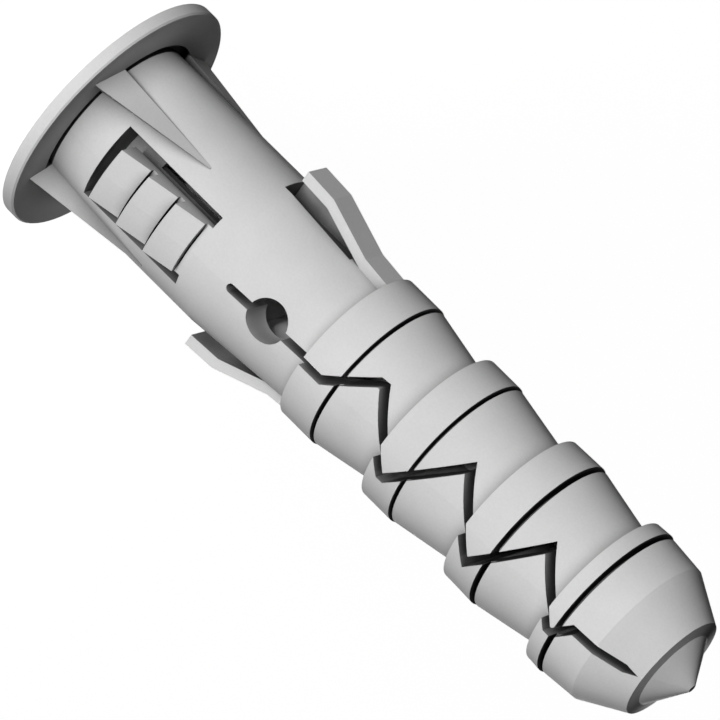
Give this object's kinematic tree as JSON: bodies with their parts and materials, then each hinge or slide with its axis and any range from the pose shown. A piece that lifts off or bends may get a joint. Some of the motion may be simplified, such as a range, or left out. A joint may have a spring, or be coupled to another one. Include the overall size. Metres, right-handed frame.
{
  "type": "wall plug",
  "caption": "Collared nylon wall plug with barbed tongues, anti-rotation wings and a ringed body split by a zigzag slot.",
  "frame": {"origin": "centre of the collar's outer face, which the plug stands on", "axes": "+Z along the plug towards its nose, the barbed tongues and the slot face +X and -X, the wings face +Y and -Y"},
  "size_m": [0.0156, 0.0156, 0.0466],
  "materials": {
    "nylon": "matte light grey moulded nylon"
  },
  "bodies": {
    "root": {"plug_body": "nylon"}
  },
  "joints": []
}
